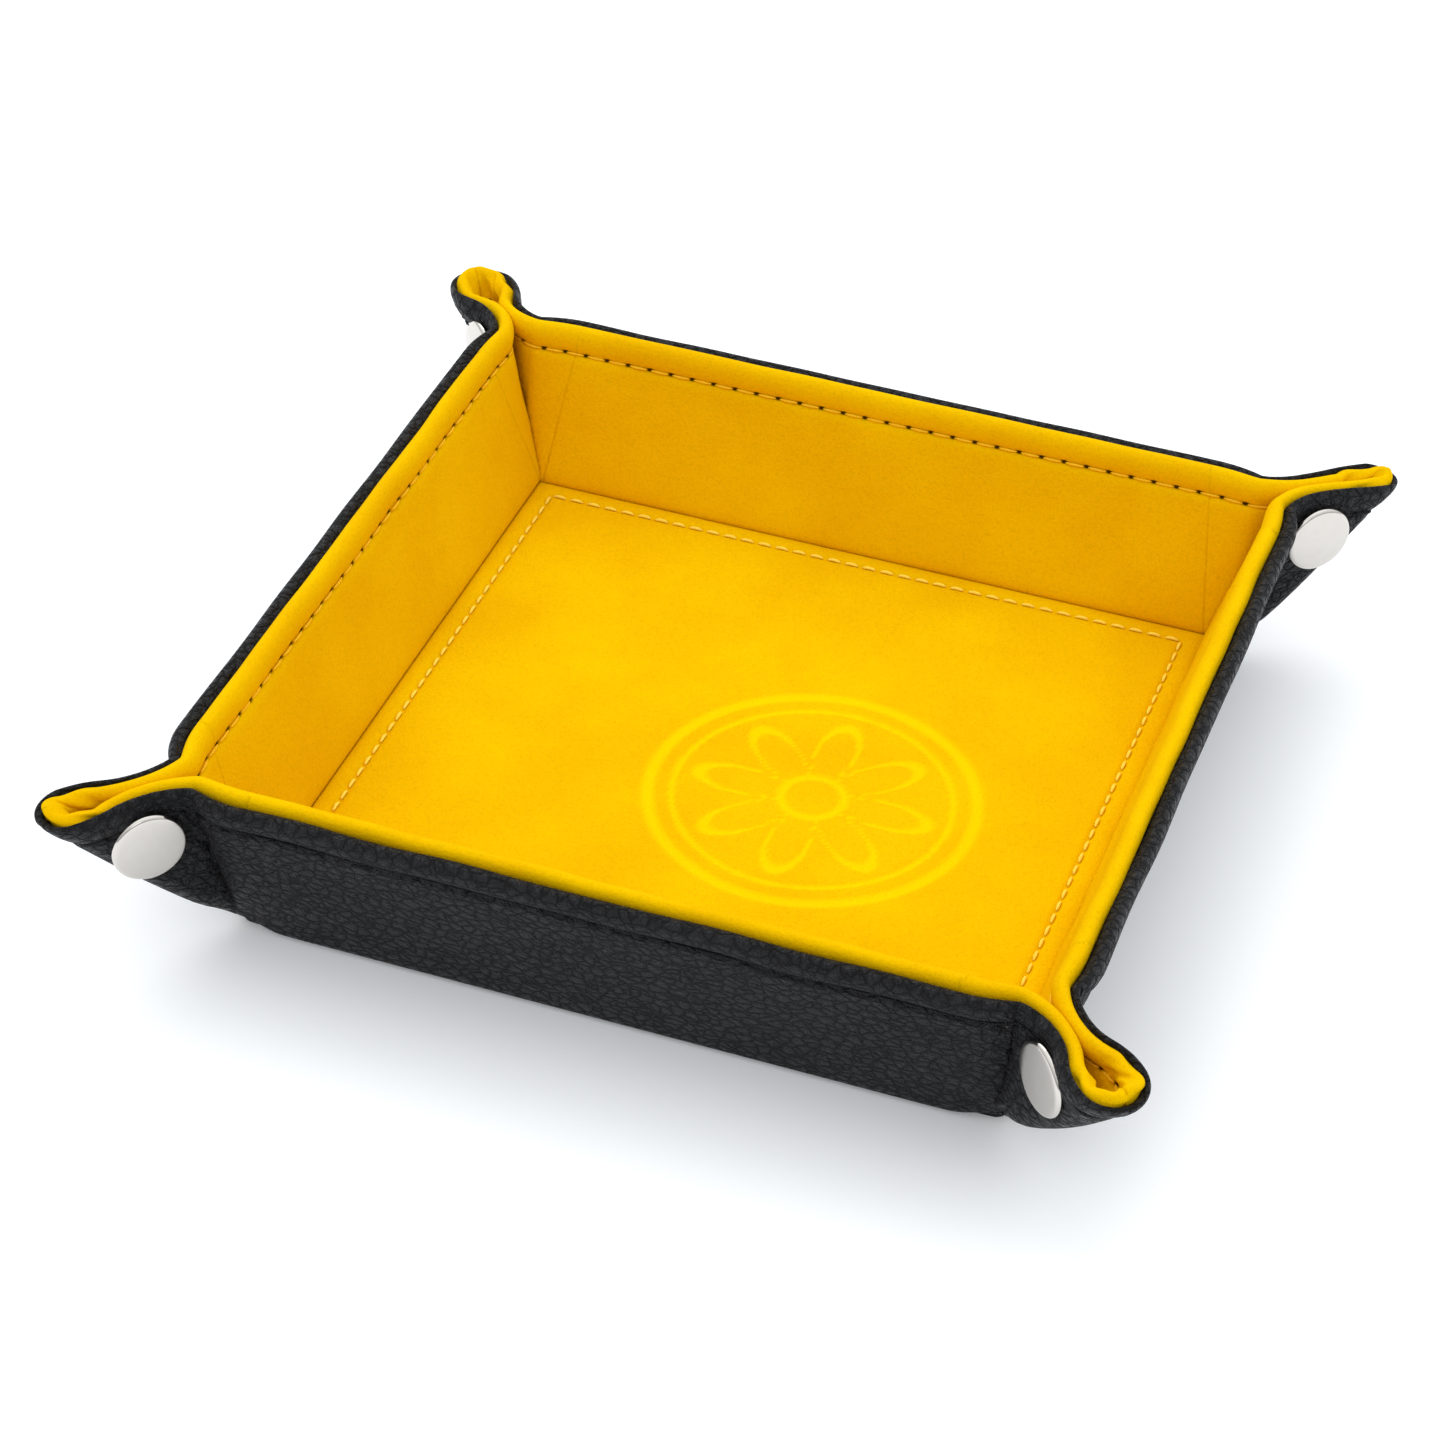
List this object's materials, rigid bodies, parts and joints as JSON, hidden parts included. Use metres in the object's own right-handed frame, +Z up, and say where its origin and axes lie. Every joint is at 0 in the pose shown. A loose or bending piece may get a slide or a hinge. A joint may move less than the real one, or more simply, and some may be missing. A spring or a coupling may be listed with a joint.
{
  "type": "folding dice tray",
  "caption": "Square padded sheet of artificial leather and plush whose corners snap into ears to raise four low walls round a dice-rolling floor.",
  "frame": {"origin": "centre of the underside of the standing tray", "axes": "+Z up through the tray's floor, +Y towards the back wall, +X towards the right wall"},
  "size_m": [0.1892, 0.1892, 0.0352],
  "materials": {
    "black_leather": "satin, fine pebble grain",
    "yellow_plush": "short-pile velvet",
    "grey_board": "matt fibreboard",
    "yellow_thread": "twisted polyester thread",
    "polished_nickel": "polished nickel plate",
    "spring_wire": "drawn bronze wire"
  },
  "bodies": {
    "base": {"base_leather": "black_leather", "base_board": "grey_board", "base_lining": "yellow_plush", "base_stitching": "yellow_thread"},
    "wall_front": {"wall_front_leather": "black_leather", "wall_front_board": "grey_board", "wall_front_lining": "yellow_plush", "wall_front_stitching": "yellow_thread"},
    "wall_right": {"wall_right_leather": "black_leather", "wall_right_board": "grey_board", "wall_right_lining": "yellow_plush", "wall_right_stitching": "yellow_thread"},
    "wall_back": {"wall_back_leather": "black_leather", "wall_back_board": "grey_board", "wall_back_lining": "yellow_plush", "wall_back_stitching": "yellow_thread"},
    "wall_left": {"wall_left_leather": "black_leather", "wall_left_board": "grey_board", "wall_left_lining": "yellow_plush", "wall_left_stitching": "yellow_thread"},
    "ear_front_left": {"ear_front_left_leather": "black_leather", "ear_front_left_lining": "yellow_plush", "snap_front_left_stud_cap": "polished_nickel", "snap_front_left_stud": "polished_nickel"},
    "ear_front_right": {"ear_front_right_leather": "black_leather", "ear_front_right_lining": "yellow_plush", "snap_front_right_socket_cap": "polished_nickel", "snap_front_right_socket": "polished_nickel", "snap_front_right_spring": "spring_wire"},
    "ear_right_front": {"ear_right_front_leather": "black_leather", "ear_right_front_lining": "yellow_plush", "snap_front_right_stud_cap": "polished_nickel", "snap_front_right_stud": "polished_nickel"},
    "ear_right_back": {"ear_right_back_leather": "black_leather", "ear_right_back_lining": "yellow_plush", "snap_back_right_socket_cap": "polished_nickel", "snap_back_right_socket": "polished_nickel", "snap_back_right_spring": "spring_wire"},
    "ear_back_right": {"ear_back_right_leather": "black_leather", "ear_back_right_lining": "yellow_plush", "snap_back_right_stud_cap": "polished_nickel", "snap_back_right_stud": "polished_nickel"},
    "ear_back_left": {"ear_back_left_leather": "black_leather", "ear_back_left_lining": "yellow_plush", "snap_back_left_socket_cap": "polished_nickel", "snap_back_left_socket": "polished_nickel", "snap_back_left_spring": "spring_wire"},
    "ear_left_back": {"ear_left_back_leather": "black_leather", "ear_left_back_lining": "yellow_plush", "snap_back_left_stud_cap": "polished_nickel", "snap_back_left_stud": "polished_nickel"},
    "ear_left_front": {"ear_left_front_leather": "black_leather", "ear_left_front_lining": "yellow_plush", "snap_front_left_socket_cap": "polished_nickel", "snap_front_left_socket": "polished_nickel", "snap_front_left_spring": "spring_wire"}
  },
  "joints": [
    {"name": "wall_front_fold", "type": "hinge", "parent": "base", "child": "wall_front", "pos_m": [0, -0.0682, 0.0028], "axis": [1, 0, 0], "range_deg": [0, 72.8]},
    {"name": "wall_right_fold", "type": "hinge", "parent": "base", "child": "wall_right", "pos_m": [0.0682, 0, 0.0028], "axis": [0, 1, 0], "range_deg": [0, 72.8]},
    {"name": "wall_back_fold", "type": "hinge", "parent": "base", "child": "wall_back", "pos_m": [0, 0.0682, 0.0028], "axis": [-1, 0, 0], "range_deg": [0, 72.8]},
    {"name": "wall_left_fold", "type": "hinge", "parent": "base", "child": "wall_left", "pos_m": [-0.0682, 0, 0.0028], "axis": [0, -1, 0], "range_deg": [0, 72.8]},
    {"name": "ear_front_left_crease", "type": "hinge", "parent": "wall_front", "child": "ear_front_left", "pos_m": [-0.06389, -0.0682, 0.0028], "axis": [0.2836, 0.2836, -0.9161], "range_deg": [0, 47.52]},
    {"name": "ear_front_right_crease", "type": "hinge", "parent": "wall_front", "child": "ear_front_right", "pos_m": [0.06389, -0.0682, 0.0028], "axis": [0.2836, -0.2836, 0.9161], "range_deg": [0, 47.52]},
    {"name": "ear_right_front_crease", "type": "hinge", "parent": "wall_right", "child": "ear_right_front", "pos_m": [0.0682, -0.06389, 0.0028], "axis": [-0.2836, 0.2836, -0.9161], "range_deg": [0, 47.52]},
    {"name": "ear_right_back_crease", "type": "hinge", "parent": "wall_right", "child": "ear_right_back", "pos_m": [0.0682, 0.06389, 0.0028], "axis": [0.2836, 0.2836, 0.9161], "range_deg": [0, 47.52]},
    {"name": "ear_back_right_crease", "type": "hinge", "parent": "wall_back", "child": "ear_back_right", "pos_m": [0.06389, 0.0682, 0.0028], "axis": [-0.2836, -0.2836, -0.9161], "range_deg": [0, 47.52]},
    {"name": "ear_back_left_crease", "type": "hinge", "parent": "wall_back", "child": "ear_back_left", "pos_m": [-0.06389, 0.0682, 0.0028], "axis": [-0.2836, 0.2836, 0.9161], "range_deg": [0, 47.52]},
    {"name": "ear_left_back_crease", "type": "hinge", "parent": "wall_left", "child": "ear_left_back", "pos_m": [-0.0682, 0.06389, 0.0028], "axis": [0.2836, -0.2836, -0.9161], "range_deg": [0, 47.52]},
    {"name": "ear_left_front_crease", "type": "hinge", "parent": "wall_left", "child": "ear_left_front", "pos_m": [-0.0682, -0.06389, 0.0028], "axis": [-0.2836, -0.2836, 0.9161], "range_deg": [0, 47.52]}
  ],
  "couplings": [
    {"joint": "wall_right_fold", "follows": "wall_front_fold", "ratio": 1},
    {"joint": "wall_back_fold", "follows": "wall_front_fold", "ratio": 1},
    {"joint": "wall_left_fold", "follows": "wall_front_fold", "ratio": 1},
    {"joint": "ear_front_left_crease", "follows": "wall_front_fold", "ratio": 0.65259},
    {"joint": "ear_front_right_crease", "follows": "wall_front_fold", "ratio": 0.65259},
    {"joint": "ear_right_front_crease", "follows": "wall_front_fold", "ratio": 0.65259},
    {"joint": "ear_right_back_crease", "follows": "wall_front_fold", "ratio": 0.65259},
    {"joint": "ear_back_right_crease", "follows": "wall_front_fold", "ratio": 0.65259},
    {"joint": "ear_back_left_crease", "follows": "wall_front_fold", "ratio": 0.65259},
    {"joint": "ear_left_back_crease", "follows": "wall_front_fold", "ratio": 0.65259},
    {"joint": "ear_left_front_crease", "follows": "wall_front_fold", "ratio": 0.65259}
  ]
}
